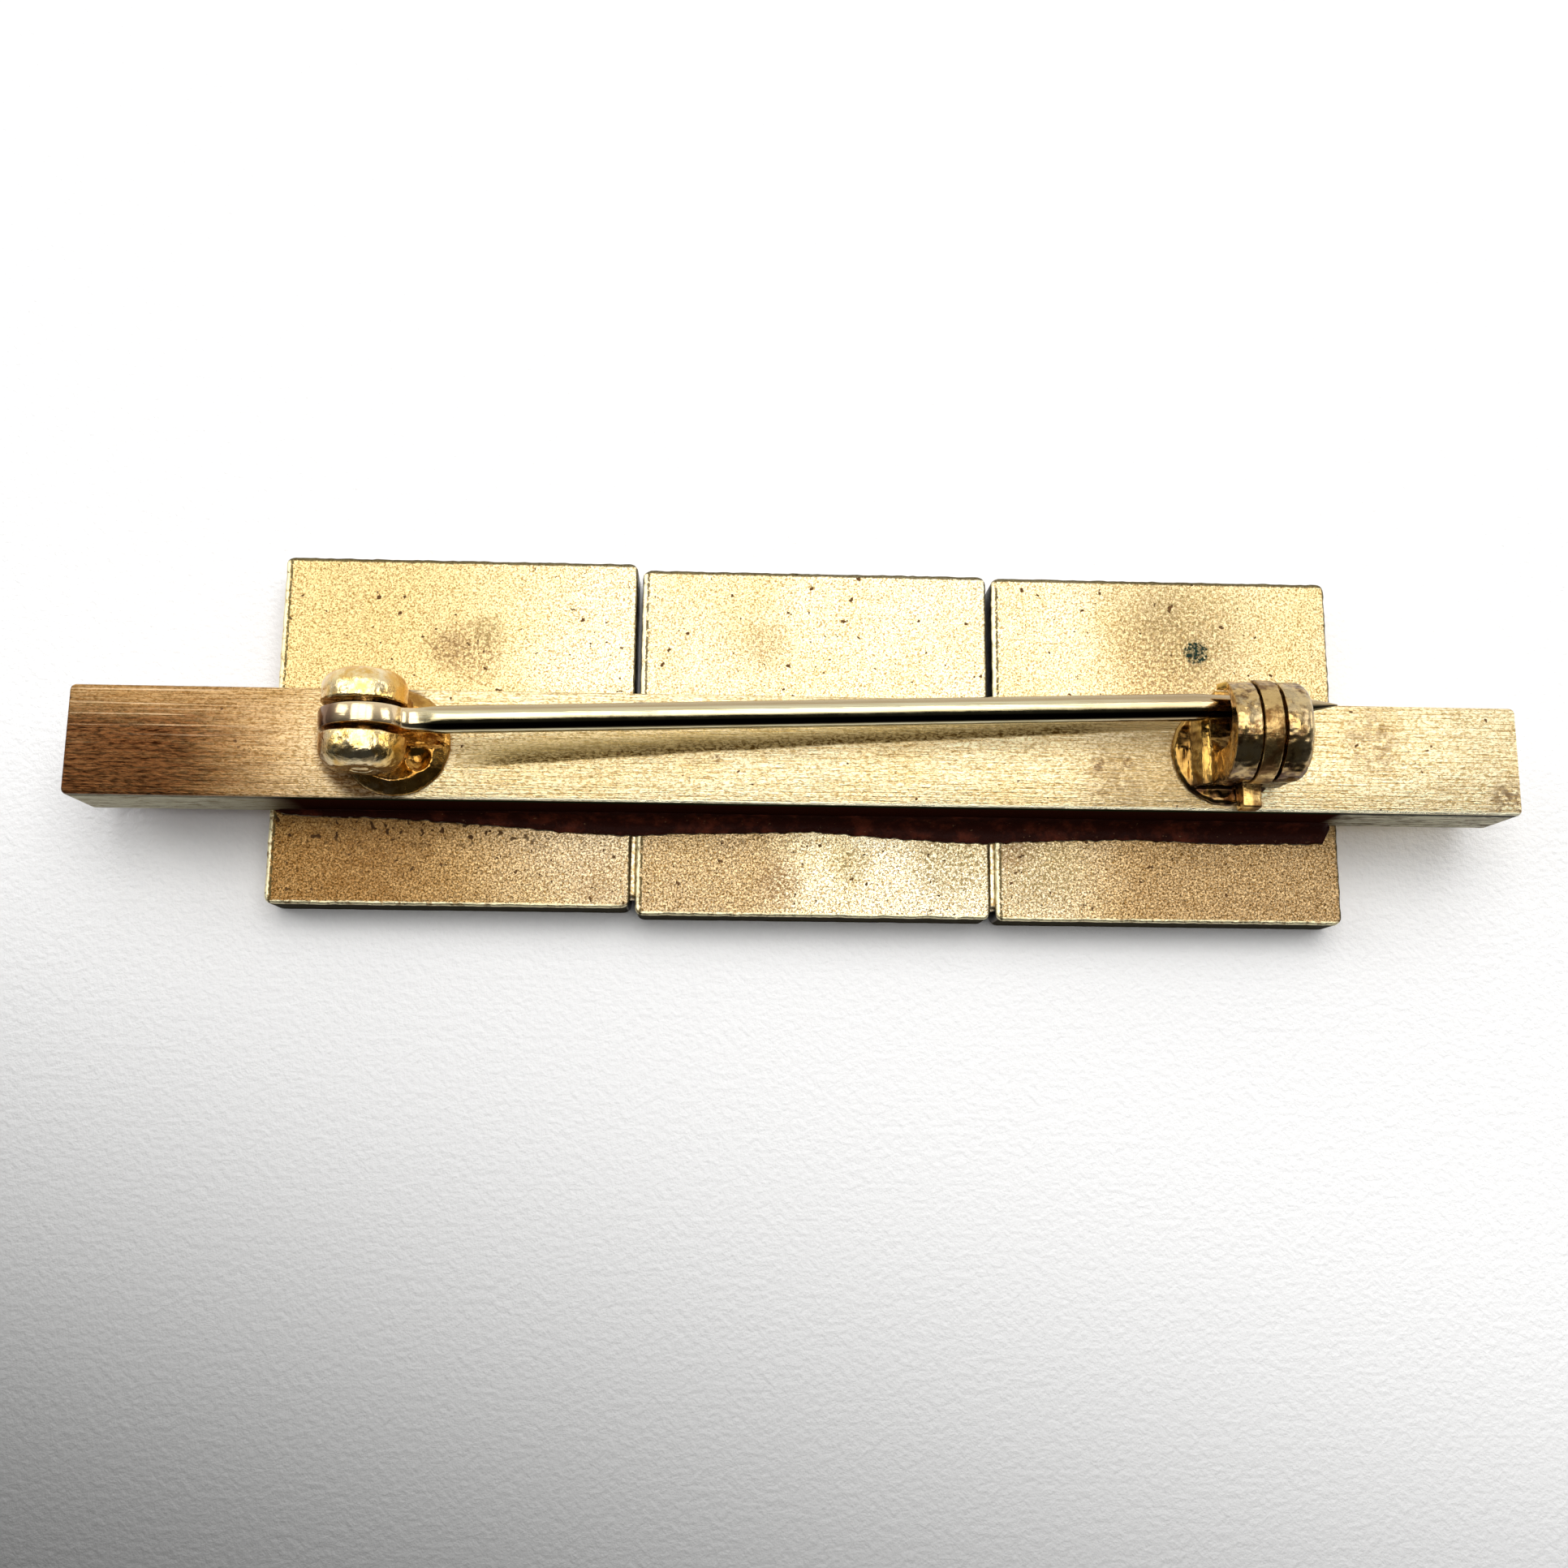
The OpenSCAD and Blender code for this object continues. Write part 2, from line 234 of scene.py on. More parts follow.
world = bpy.data.worlds.new("room")
world.use_nodes = True
room = world.node_tree
facing = room.nodes.new("ShaderNodeSeparateXYZ")
room.links.new(room.nodes.new("ShaderNodeTexCoord").outputs["Generated"], facing.inputs[0])
beyond = room.nodes.new("ShaderNodeMapRange")
beyond.interpolation_type = "SMOOTHSTEP"
for name, number in (("From Min", -0.45), ("From Max", 0.75), ("To Min", 0.04), ("To Max", 1.0)):
    beyond.inputs[name].default_value = number
room.links.new(facing.outputs["Y"], beyond.inputs["Value"])
room.links.new(beyond.outputs["Result"], room.nodes["Background"].inputs["Strength"])
room.nodes["Background"].inputs["Color"].default_value = (0.97, 0.98, 1, 1)
bpy.context.scene.world = world
bpy.context.scene.view_settings.view_transform = "Standard"

CAMERA_PLACE = Vector((-2.916, -15.146, 70.631))
camera_data = bpy.data.cameras.new("camera")
camera_data.lens = 37.27
camera_data.sensor_width = 36
camera_data.clip_start = 1 * MM
camera_data.clip_end = 5
camera = bpy.data.objects.new("camera", camera_data)
bpy.context.collection.objects.link(camera)
leaning = (Matrix.Rotation(math.radians(-0.53), 3, "Z") @ Matrix.Rotation(math.radians(-10.84), 3, "X")
           @ Matrix.Rotation(math.radians(1.90), 3, "Y"))
camera.matrix_world = Matrix.Translation(CAMERA_PLACE * MM) @ leaning.transposed().to_4x4()
bpy.context.scene.camera = camera


# Front plates
# Three nearly square plates sawn from 2 mm brass sheet and gilt. Their backs have a fine sandy satin
# with tarnish stains, pores and specks, a dark rolled edge and a thin burr round the rim, painted bright
# as a highlight.
PLATE_CORNER = 0.35
PLATE_PROFILE = (  # how far in from the outline, and how far below the back face
    (0.14, 2.0), (0.05, 1.97), (0.0, 1.88), (0.0, 0.14), (0.02, 0.06), (0.06, 0.015),
    (0.12, 0.0), (0.20, 0.005), (0.30, 0.0))
SIDE_FOOT, SIDE_TOP = (0.02, 0.10), (1.84, 1.95)  # heights at which a side begins and ends
PALE_GILT, YELLOW_GILT = (0.93, 0.85, 0.66), (0.88, 0.76, 0.49)
BRONZE_AND_SHADE, AGED_AND_SHADE = (0.80, 0.60, 0.27), (0.215, 0.105, 0.028)
GRAIN_DARK, GRAIN_LIGHT = (0.44, 0.33, 0.17), (1.22, 1.2, 1.14)
SPECK, PORE = (0.10, 0.05, 0.02), (0.05, 0.025, 0.010)
BURR_HIGHLIGHT, ROLLED_DARK = (0.97, 0.88, 0.56), (0.07, 0.055, 0.022)
SIDE_GILT, SIDE_BROWN = (0.50, 0.35, 0.16), (0.30, 0.19, 0.08)
SHADED_SIDE, GAP_SHADE = (0.034, 0.027, 0.012), (0.02, 0.016, 0.008)


def corners(node):
    """The low and the high corner of the box round a CAD node, in millimetres."""
    return [Vector(corner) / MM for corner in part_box(node)]


def rounded_outline(width, depth, corner, step):
    """Points and outward directions round a rectangle with round corners, about its middle."""
    around = []
    for turn in range(4):
        angle = math.radians(90 * turn)
        half = (width / 2, depth / 2) if turn % 2 == 0 else (depth / 2, width / 2)
        spin = Matrix.Rotation(angle, 2)
        straight = 2 * (half[1] - corner)
        count = max(2, int(straight / step))
        for k in range(count):
            point = Vector((half[0], -half[1] + corner + straight * k / count))
            around.append((spin @ point, spin @ Vector((1, 0))))
        for k in range(5):
            lean = math.radians(90 * k / 5)
            out = Vector((math.cos(lean), math.sin(lean)))
            around.append((spin @ (Vector((half[0] - corner, half[1] - corner)) + out * corner), spin @ out))
    return around


def face_outward(mesh, weld=None):
    """Turns all faces of a mesh outward, after welding points closer than a distance in metres."""
    shape = bmesh.new()
    shape.from_mesh(mesh)
    if weld:
        bmesh.ops.remove_doubles(shape, verts=shape.verts, dist=weld)
    bmesh.ops.recalc_face_normals(shape, faces=shape.faces)
    shape.to_mesh(mesh)
    shape.free()


def settle(name, mesh, finish, body, smooth_angle=40):
    """Turns a mesh into a piece: faces outward, shaded smooth, given its finish and its body."""
    face_outward(mesh, 1e-8)
    mesh.shade_smooth()
    mesh.set_sharp_from_angle(angle=math.radians(smooth_angle))
    mesh.materials.clear()
    mesh.materials.append(finish.material)
    piece = bpy.data.objects.new(name, mesh)
    bpy.context.collection.objects.link(piece)
    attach(piece, body)
    return piece


def skin(name, rings, finish, body, smooth_angle=40):
    """A closed piece from rings of points in millimetres, with the same number in each."""
    mesh = bpy.data.meshes.new(name)
    n = len(rings[0])
    points = [Vector(p) * MM for ring in rings for p in ring]
    faces = [[i * n + k, i * n + (k + 1) % n, (i + 1) * n + (k + 1) % n, (i + 1) * n + k]
             for i in range(len(rings) - 1) for k in range(n)]
    faces += [list(range(n))[::-1], [(len(rings) - 1) * n + k for k in range(n)]]
    mesh.from_pydata(points, [], faces)
    return settle(name, mesh, finish, body, smooth_angle)


def gilt_plate(name, low, high, bronze, stains, seed):
    """Satin gilt of one plate between two corners: how far its low side is painted bronze, tarnish and
    painted shade in one, as (x, share) to the left and to the right, and its stains as
    (x, y, radius, strength, colour)."""
    gilt = Finish(name + "_gilt", 1, 0.4, (0.8, 0.64, 0.38))
    shift = (seed * 7.3, seed * 3.1, seed)
    cloud = gilt.noise(0.16, 3, 0.55, shift=shift)
    mottle = gilt.noise(2.4, 4, 0.7, shift=shift)
    grain = gilt.noise(13, 2, 0.5, warp=1.0, shift=shift)
    fine = gilt.noise(18, 2, 0.6, shift=shift)
    x, y, z = gilt.along(0), gilt.along(1), gilt.along(2)
    colour = gilt.blend(gilt.between(cloud, 0.35, 0.68), PALE_GILT, YELLOW_GILT)

    # The low side is painted bronze and brown, darker towards the bar: partly tarnish, partly painted shade.
    # The sand shows more there.
    (left_x, left_share), (right_x, right_share) = bronze
    bronze_shade_share = gilt.between(x, left_x, right_x, left_share, right_share)
    colour = gilt.blend(gilt.times(bronze_shade_share, bronze_shade_share), colour, BRONZE_AND_SHADE)
    aged_and_shaded = gilt.times(bronze_shade_share, gilt.between(y, -4, 3, 1, 0.05),
                      gilt.between(mottle, 0.3, 0.7, 1.06, 0.94))
    colour = gilt.blend(aged_and_shaded, colour, AGED_AND_SHADE)
    colour = gilt.shade(colour, gilt.blend(gilt.between(grain, 0.36, 0.60), GRAIN_DARK, GRAIN_LIGHT))
    colour = gilt.shade(colour, gilt.between(mottle, 0.3, 0.7, 0.94, 1.05))
    foot_sand = gilt.between(gilt.noise(11, 3, 0.7, shift=shift), 0.38, 0.60, -0.55, 0.46)
    colour = gilt.shade(colour, gilt.plus(1, gilt.times(foot_sand, gilt.fade(y, -4.6, -3.2))))

    for stain_x, stain_y, radius, strength, tint in stains:
        patch = gilt.spot((stain_x, stain_y, 2), radius, 0.6)
        lumps = gilt.noise(6, 3, 0.7, shift=(stain_x, stain_y, seed))
        blotch = gilt.between(lumps, 0.42, 0.53, strength, strength * 0.15)
        colour = gilt.blend(gilt.times(patch, blotch), colour, tint)
    speck = gilt.between(gilt.noise(2.9, 2, 0.5, shift=(seed, 40, 2)), 0.70, 0.73)
    colour = gilt.blend(speck, colour, SPECK)
    pore = gilt.between(gilt.noise(3.4, 1, 0.5, shift=(seed, 1, 5)), 0.62, 0.67)
    near_seam = gilt.band(y, (-5.2, -4.5), (-2.5, -2.0))
    colour = gilt.blend(gilt.times(pore, near_seam, gilt.between(x, -13, -9, 1, 0.3)), colour, PORE)

    # The rim: a broken burr at the left and the foot, painted bright as a highlight, and rolled dark at the
    # top and the right.
    jitter = gilt.times(gilt.minus(gilt.noise(4.5, 3, 0.7, shift=shift), 0.5), 0.16)
    from_left = gilt.plus(gilt.minus(x, low.x), jitter)
    from_right = gilt.plus(gilt.minus(high.x, x), jitter)
    from_top = gilt.plus(gilt.minus(high.y, y), jitter)
    from_foot = gilt.plus(gilt.minus(y, low.y), jitter)
    burr = gilt.larger(gilt.fade(from_left, 0.15, 0.20), gilt.fade(from_foot, 0.12, 0.18))
    broken = gilt.between(gilt.noise(4, 2, 0.6, shift=(seed, 5, 1)), 0.36, 0.50, 0.25, 0.95)
    colour = gilt.blend(gilt.times(burr, broken), colour, BURR_HIGHLIGHT)
    rolled = gilt.larger(gilt.fade(from_top, 0.15, 0.20), gilt.fade(from_right, 0.07, 0.11))
    dotted = gilt.between(gilt.noise(5, 2, 0.6, shift=(2, seed, 9)), 0.36, 0.46)
    inner_line = gilt.times(gilt.band(from_left, (0.18, 0.22), (0.28, 0.32)), dotted)
    colour = gilt.blend(gilt.times(gilt.larger(rolled, inner_line), 0.9), colour, ROLLED_DARK)

    # The sides are sawn gilt; painted shade darkens the side at the foot of the plate and the sides in the
    # gaps.
    side = gilt.band(z, SIDE_FOOT, SIDE_TOP)
    shaded_low_side = gilt.times(side, gilt.fade(y, low.y + 0.06, low.y + 0.16))
    colour = gilt.blend(side, colour, gilt.blend(gilt.between(mottle, 0.35, 0.65), SIDE_GILT, SIDE_BROWN))
    colour = gilt.blend(shaded_low_side, colour, SHADED_SIDE)
    if name != "plate_right":
        colour = gilt.blend(gilt.times(side, gilt.between(x, high.x - 0.16, high.x - 0.06)), colour, GAP_SHADE)
    if name != "plate_left":
        colour = gilt.blend(gilt.times(side, gilt.fade(x, low.x + 0.06, low.x + 0.16)), colour, GAP_SHADE)
    gilt.colour(colour)
    gilt.metallic(gilt.between(shaded_low_side, 0, 1, 1, 0.12))
    gilt.gloss(gilt.between(shaded_low_side, 0, 1, 0.5, 0))
    gilt.roughness(gilt.between(fine, 0.3, 0.7, 0.30, 0.46))
    gilt.relief((grain, 0.016), (fine, 0.007), (speck, -0.02))
    return gilt


BROWN = (0.20, 0.11, 0.045)
OLIVE = (0.22, 0.16, 0.06)
GREEN_BLACK = (0.012, 0.025, 0.018)
# For each plate: how far its low side is painted bronze (tarnish and painted shade), its stains, a seed.
PLATES = {
    "plate_left": (((-19, 0.9), (-6, 0.40)), (
        (-14.2, 3.6, 1.3, 0.8, BROWN), (-15.4, 3.8, 0.8, 0.9, BROWN), (-13.6, 4.6, 0.7, 0.8, OLIVE),
        (-8.4, -6.3, 1.2, 0.6, BROWN), (-17.5, 6.0, 3.5, 0.3, OLIVE), (-18.0, -3.9, 2.6, 0.5, BROWN)), 1),
    "plate_middle": (((-2.2, 0.60), (1.2, 0.08)), (
        (-1.4, 4.2, 1.0, 0.5, BROWN), (-0.8, -6.2, 0.9, 0.9, BROWN), (2.3, -5.4, 0.8, 0.9, OLIVE),
        (6.6, -5.2, 1.8, 0.9, OLIVE), (-2.4, 4.8, 1.4, 0.3, OLIVE)), 2),
    "plate_right": (((10.5, 0.36), (15, 0.72)), (
        (16.3, 4.0, 2.6, 0.8, BROWN), (17.6, 5.3, 2.6, 0.7, OLIVE), (14.9, 6.9, 2.4, 0.5, OLIVE),
        (10.2, -5.3, 2.0, 0.85, OLIVE), (9.0, -4.6, 1.0, 0.8, BROWN),
        (17.5, 4.2, 0.42, 4.0, GREEN_BLACK)), 3),
}
for plate_name, (bronze, stains, seed) in PLATES.items():
    low, high = corners(plate_name)
    middle, size = (low + high) / 2, high - low
    around = rounded_outline(size.x, size.y, PLATE_CORNER, 0.22)
    rings = []
    for inset, below in PLATE_PROFILE:
        ring = []
        for point, out in around:
            wander = noise.noise(Vector((point.x, point.y, seed * 9)) * 1.7) * 0.02
            burr = noise.noise(Vector((point.x * 3.2, point.y * 3.2, seed * 5))) * 0.045
            edge = max(0, inset + wander * (0 < below < 1.9) + (burr if 0 <= below < 0.1 else 0))
            spot = point - out * edge
            ring.append((middle.x + spot.x, middle.y + spot.y, high.z - below))
        rings.append(ring)
    gilt = gilt_plate(plate_name, low, high, bronze, stains, seed)
    plate = skin(plate_name + "_sheet", rings, gilt, "brooch")
    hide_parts(plate_name)

# Below the bar the gaps have filled with gilt solder, which stops short of the plates' corners.
GAP_STEPS, GAP_DEPTH, GAP_PLAY, GAP_ROUND = 40, 0.6, 0.004, 0.05
GAP_BROWN, GAP_BRIGHT = (0.50, 0.34, 0.15), (0.95, 0.85, 0.60)
gap_gilt = Finish("gap_gilt", 1, 0.34, (0.86, 0.74, 0.48))
gap_grain = gap_gilt.noise(6, 3, 0.6)
gap_gilt.colour(gap_gilt.blend(gap_gilt.between(gap_grain, 0.42, 0.6), GAP_BROWN, GAP_BRIGHT))
gap_gilt.relief((gap_grain, 0.02))
for left_name, right_name in (("plate_left", "plate_middle"), ("plate_middle", "plate_right")):
    left_low, left_high = corners(left_name)
    right_low = corners(right_name)[0]
    gap_left, gap_right, back = left_high.x, right_low.x, left_high.z
    gap_foot = max(left_low.y, right_low.y) + 0.4
    gap_head = corners("back_bar")[0].y + 0.4
    rings = []
    for k in range(GAP_STEPS + 1):
        y = gap_foot + (gap_head - gap_foot) * k / GAP_STEPS
        sag = 0.05 + 0.02 * noise.noise(Vector((gap_left, y * 2.2, 3))) + 0.12 * max(0, 1 - k / 2)
        left_side, right_side = gap_left + GAP_PLAY, gap_right - GAP_PLAY
        rings.append([(left_side, y, back - GAP_DEPTH), (right_side, y, back - GAP_DEPTH),
                      (right_side, y, back - sag - 0.03), (gap_right - GAP_ROUND, y, back - sag),
                      (gap_left + GAP_ROUND, y, back - sag), (left_side, y, back - sag - 0.03)])
    skin("gap_solder_" + right_name, rings, gap_gilt, "brooch", 60)


# Bar and its solder seam
# A drawn brass bar, brushed lengthwise and gilt; the left end has gone copper-brown. It is soldered
# across the plates, and the solder has run out along its lower foot, dark with burnt flux.
BAR_LENGTH, BAR_WIDTH, BAR_CORNER = 60, 4.6, 0.25
BAR_PROFILE = ((0.10, 0.0), (0.03, 0.03), (0.0, 0.10), (0.0, -0.12), (0.035, -0.035), (0.12, 0.0))
BAR_DIRT = (  # x, y, radius and strength of each dirt spot on the back face
    (-3.56, -1.61, 0.16, 1), (12.2, -1.55, 0.3, 0.8), (13.5, -1.5, 0.22, 0.8),
    (23.8, -0.45, 1.2, 0.5), (12.9, -2.4, 1.3, 0.35), (29.6, -3.0, 0.9, 0.8))
BAR_PALE, BAR_YELLOW, COPPER_TINGE = (0.95, 0.85, 0.63), (0.91, 0.77, 0.50), (0.48, 0.28, 0.105)
COPPER_DARK, COPPER_LIGHT, COPPER_SCRATCH = (0.026, 0.006, 0.001), (0.18, 0.068, 0.022), (0.75, 0.52, 0.30)
STEM_SHADOW_YELLOW, STEM_SHADOW_BROWN, CATCH_DIRT_AND_SHADE = (0.66, 0.49, 0.18), (0.060, 0.028, 0.003), (0.42, 0.29, 0.12)
SIDE_OLIVE, SIDE_DARK, SIDE_WORN = (0.34, 0.28, 0.17), (0.13, 0.09, 0.045), (0.66, 0.62, 0.45)
BURNT, BURNT_GREEN, GREEN_LINE = (0.035, 0.008, 0.004), (0.012, 0.022, 0.008), (0.022, 0.024, 0.010)
DIRT, PAD_RING_SHADE, BAR_SPECK = (0.16, 0.08, 0.03), (0.075, 0.032, 0.007), (0.12, 0.06, 0.025)
EDGE_HIGHLIGHT = (0.97, 0.92, 0.66)
bar_low, bar_high = corners("back_bar")
bar_y, bar_back = bar_high.y - BAR_WIDTH / 2, bar_high.z
side_y = bar_y - BAR_WIDTH / 2
plates_left, plates_right = corners("plate_left")[0].x, corners("plate_right")[1].x

bar_gilt = Finish("bar_gilt", 1, 0.3, (0.8, 0.62, 0.36))
along_bar, across, up = bar_gilt.along(0), bar_gilt.along(1), bar_gilt.along(2)
brush = bar_gilt.noise((0.35, 16, 16), 4, 0.7)
scratch = bar_gilt.noise((0.09, 9, 9), 2, 0.6, shift=(3, 1, 7))
sand = bar_gilt.noise((6, 12, 12), 2, 0.6, warp=0.8)
tint = bar_gilt.blend(bar_gilt.between(bar_gilt.noise(0.2, 2), 0.35, 0.7), BAR_PALE, BAR_YELLOW)
tint = bar_gilt.blend(bar_gilt.between(along_bar, -24, -14.5, 0.85, 0), tint, COPPER_TINGE)
brush_shade = bar_gilt.blend(bar_gilt.between(brush, 0.34, 0.58), (0.62, 0.52, 0.34), (1.1, 1.08, 1.03))
sand_shade = bar_gilt.blend(bar_gilt.between(sand, 0.36, 0.58), (0.60, 0.50, 0.32), (1.12, 1.1, 1.05))
tint = bar_gilt.shade(bar_gilt.shade(tint, brush_shade), sand_shade)

# Under the stem, a painted shadow and reflection of the stem: brown, sharply bounded below, fading
# out above through a yellow tinge.
stem_line = bar_gilt.times(along_bar, bar_gilt.plus(bar_gilt.times(along_bar, -0.0006), 0.0715))
waver = bar_gilt.times(bar_gilt.minus(bar_gilt.noise(0.7, 2), 0.5), 0.12)
under_stem = bar_gilt.plus(bar_gilt.minus(across, bar_gilt.plus(stem_line, -1.07)), waver)
before_catch = bar_gilt.fade(along_bar, 15, 17.5)
beside_stem = bar_gilt.times(before_catch, bar_gilt.between(along_bar, -15, -11.5))
stem_shadow_yellowed = bar_gilt.times(bar_gilt.between(under_stem, -0.05, 0.10),
                          bar_gilt.between(under_stem, 0.4, 1.5, 0.75, 0), beside_stem)
stem_shadow_browned = bar_gilt.times(bar_gilt.band(under_stem, (-0.03, 0.08), (0.15, 1.0)), beside_stem,
                         bar_gilt.between(sand, 0.38, 0.60, 1, 0.64))
tint = bar_gilt.blend(stem_shadow_yellowed, tint, STEM_SHADOW_YELLOW)
tint = bar_gilt.blend(stem_shadow_browned, tint, STEM_SHADOW_BROWN)
# Painted shade: the bar above the stem grows darker towards the catch.
above_stem_shade = bar_gilt.times(bar_gilt.between(along_bar, -4, 14, 0, 0.42), before_catch,
                            bar_gilt.between(across, -0.6, 0.2))
tint = bar_gilt.shade(tint, bar_gilt.minus(1, above_stem_shade))
# Brown round the foot of the catch: dirt, with painted shade.
by_catch_dirt_and_shade = bar_gilt.times(bar_gilt.spot((14.8, -2.2, bar_back), 2.7, 0.7),
                          bar_gilt.between(sand, 0.38, 0.60, 0.95, 0.5))
tint = bar_gilt.blend(by_catch_dirt_and_shade, tint, CATCH_DIRT_AND_SHADE)

# The copper-brown left end, with a few light scratches in its upper part.
ragged_end = bar_gilt.plus(along_bar, bar_gilt.times(bar_gilt.noise((0.5, 3, 3), 4, 0.7), 5))
tarnish = bar_gilt.fade(ragged_end, -23.5, -17.5)
streak = bar_gilt.times(bar_gilt.between(brush, 0.42, 0.66, 1, 0.85),
                        bar_gilt.between(across, bar_y + 0.4, bar_y + 2.1, 1, 0.35))
copper_grain = bar_gilt.between(bar_gilt.noise((2.6, 13, 13), 3, 0.6), 0.36, 0.62)
copper = bar_gilt.blend(copper_grain, COPPER_DARK, COPPER_LIGHT)
tint = bar_gilt.blend(bar_gilt.times(tarnish, streak), tint, copper)
light_line = bar_gilt.times(tarnish, bar_gilt.between(across, bar_y - 0.4, bar_y + 0.5),
                            bar_gilt.between(scratch, 0.60, 0.68, 0, 0.7))
tint = bar_gilt.blend(light_line, tint, COPPER_SCRATCH)

for x, y, radius, strength in BAR_DIRT:
    dirt = bar_gilt.between(bar_gilt.noise(3.5, 3, 0.7, shift=(x, y, 0)), 0.40, 0.58, 0, strength)
    patch = bar_gilt.spot((x, y, bar_back), radius)
    tint = bar_gilt.blend(bar_gilt.times(patch, dirt), tint, DIRT)
# A dark brown ring round the hinge pad: stain, with painted shade.
pad_ring_stain_and_shade = bar_gilt.times(bar_gilt.spot((-17.3, -1.1, bar_back), 2.55, 0.10),
                          bar_gilt.between(sand, 0.35, 0.6, 1, 0.85))
tint = bar_gilt.blend(pad_ring_stain_and_shade, tint, PAD_RING_SHADE)
bar_speck = bar_gilt.between(bar_gilt.noise(2.2, 2, 0.5, shift=(9, 4, 2)), 0.72, 0.76)
tint = bar_gilt.blend(bar_speck, tint, BAR_SPECK)

# The lower side is dull, scuffed at both ends and burnt red-brown over the plates.
lower_side = bar_gilt.fade(across, side_y, side_y + 0.03)
side_tint = bar_gilt.blend(bar_gilt.between(along_bar, -20, 0), SIDE_OLIVE, SIDE_DARK)
scuff = bar_gilt.between(bar_gilt.noise((0.9, 5, 5), 3, 0.7, warp=1.0), 0.40, 0.54, 0, 0.95)
scuff = bar_gilt.times(scuff, bar_gilt.between(bar_gilt.math("ABSOLUTE", along_bar), 21, 24))
tint = bar_gilt.blend(lower_side, tint, bar_gilt.blend(scuff, side_tint, SIDE_WORN))
dark_line = bar_gilt.times(lower_side, bar_gilt.between(up, bar_back - 0.48, bar_back - 0.36),
                           bar_gilt.between(along_bar, -26, -14, 0.5, 1))
tint = bar_gilt.blend(dark_line, tint, GREEN_LINE)
# Painted highlight: a bright line along the lower edge of the back face, except at the left end.
low_edge_highlight = bar_gilt.times(bar_gilt.fade(across, side_y + 0.08, side_y + 0.16),
                          bar_gilt.between(up, bar_back - 0.07, bar_back - 0.03),
                          bar_gilt.between(along_bar, -19, -11))
tint = bar_gilt.blend(low_edge_highlight, tint, EDGE_HIGHLIGHT)
over_plates = bar_gilt.band(along_bar, (plates_left + 0.2, plates_left + 1.8),
                            (plates_right - 1.1, plates_right - 0.5))
burnt = bar_gilt.times(over_plates, lower_side)
tint = bar_gilt.blend(burnt, tint, BURNT)
burnt_line = bar_gilt.times(burnt, bar_gilt.between(up, bar_back - 0.42, bar_back - 0.30))
bar_gilt.colour(bar_gilt.blend(burnt_line, tint, BURNT_GREEN))
bar_gilt.metallic(bar_gilt.minus(1, bar_gilt.larger(burnt, bar_gilt.times(lower_side, 0.75))))
bar_gilt.gloss(bar_gilt.between(lower_side, 0, 1, 0.5, 0))
bar_gilt.roughness(bar_gilt.between(brush, 0.3, 0.7, 0.22, 0.36))
bar_gilt.relief((brush, 0.02), (sand, 0.02), (scratch, 0.01))

around = rounded_outline(BAR_LENGTH, BAR_WIDTH, BAR_CORNER, 0.5)
rings = []
for inset, rise in BAR_PROFILE:
    level = (bar_low.z if len(rings) < 3 else bar_back) + rise
    ring = []
    for point, out in around:
        wander = noise.noise(Vector((point.x * 1.3, point.y * 2, 4))) * 0.015
        spot = point - out * max(0, inset + wander * (inset > 0))
        ring.append((spot.x, bar_y + spot.y, level))
    rings.append(ring)
bar = skin("back_bar_brushed", rings, bar_gilt, "brooch")
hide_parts("back_bar")

SEAM_REACH = (  # x, and how far the solder has run out over the plates there
    (-22.6, 0.12), (-20.2, 0.23), (-17.4, 0.26), (-14.7, 0.42), (-11.9, 0.59), (-9.8, 0.77), (-7.1, 0.87),
    (-5.0, 0.74), (-2.9, 0.71), (0.6, 0.59), (4.0, 0.82), (7.5, 1.0), (11.1, 0.82), (14.6, 0.73),
    (18.1, 0.86), (23.1, 0.79))
SEAM_LEFT, SEAM_RIGHT, SEAM_STEPS = -22.2, 23.0, 420


def seam_reach(x):
    """How far the solder has run out over the plates at x."""
    for (x0, r0), (x1, r1) in zip(SEAM_REACH, SEAM_REACH[1:]):
        if x <= x1:
            share = min(1, max(0, (x - x0) / (x1 - x0)))
            return r0 + (r1 - r0) * share
    return SEAM_REACH[-1][1]


